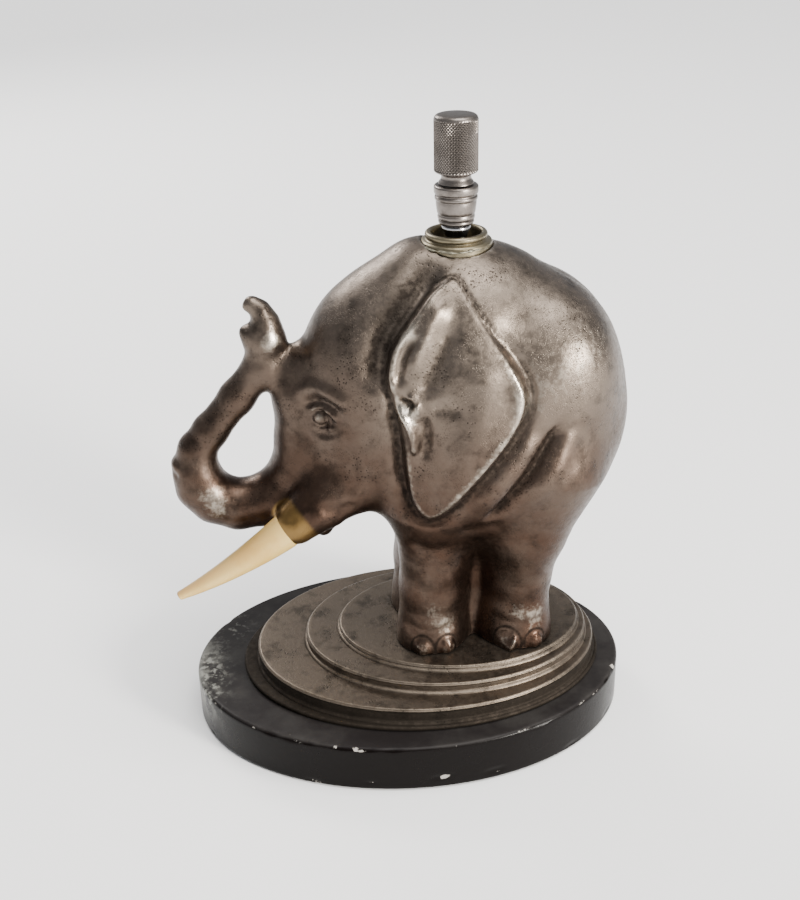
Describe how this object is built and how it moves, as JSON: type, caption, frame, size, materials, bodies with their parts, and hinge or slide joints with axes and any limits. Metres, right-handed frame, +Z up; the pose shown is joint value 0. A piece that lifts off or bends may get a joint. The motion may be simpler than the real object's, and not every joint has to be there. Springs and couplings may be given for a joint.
{
  "type": "table lighter",
  "caption": "Striker table lighter: an elephant with raised trunk stands on a stepped oval plinth and black base; a knurled wand lifts out of its back.",
  "frame": {"origin": "centre of the felt's underside, which is also the centre of the oval base", "axes": "+Z up along the wand, -X towards the elephant's head, -Y towards the elephant's left side"},
  "size_m": [0.0913, 0.066, 0.1238],
  "materials": {
    "felt": "pressed wool felt",
    "black_lacquer": "black lacquer, worn and chipped at the edges",
    "plinth_bronze": "dull bronzed casting with bright worn edges",
    "figure_bronze": "bronzed and plated casting, worn bright on its high spots, pitted",
    "ivory_resin": "yellowed cream, softly polished",
    "brass": "tarnished",
    "flint": "scratched, matt",
    "steel": "turned, bright",
    "nickel": "dulled nickel plate, turned and knurled",
    "cotton": "loose fibre"
  },
  "bodies": {
    "lighter": {"felt_pad": "felt", "base_block": "black_lacquer", "plinth": "plinth_bronze", "flint_holder": "brass", "flint_bar": "flint", "flint_screw_front": "steel", "flint_screw_rear": "steel", "elephant_body": "figure_bronze", "tusk_left": "ivory_resin", "tusk_right": "ivory_resin", "collar": "brass", "fuel_well": "brass", "fuel_wadding": "cotton", "frame_screw_front": "steel", "frame_screw_rear": "steel", "frame_washer_front": "steel", "frame_washer_rear": "steel"},
    "wand": {"wand_head": "nickel", "wand_plug": "nickel", "wand_rod": "steel", "spark_tip": "steel", "wand_wick": "cotton"}
  },
  "joints": [
    {"name": "wand_lift", "type": "slide", "parent": "lighter", "child": "wand", "axis": [0, 0, 1], "range_m": [-0.0086, 0.046]}
  ]
}
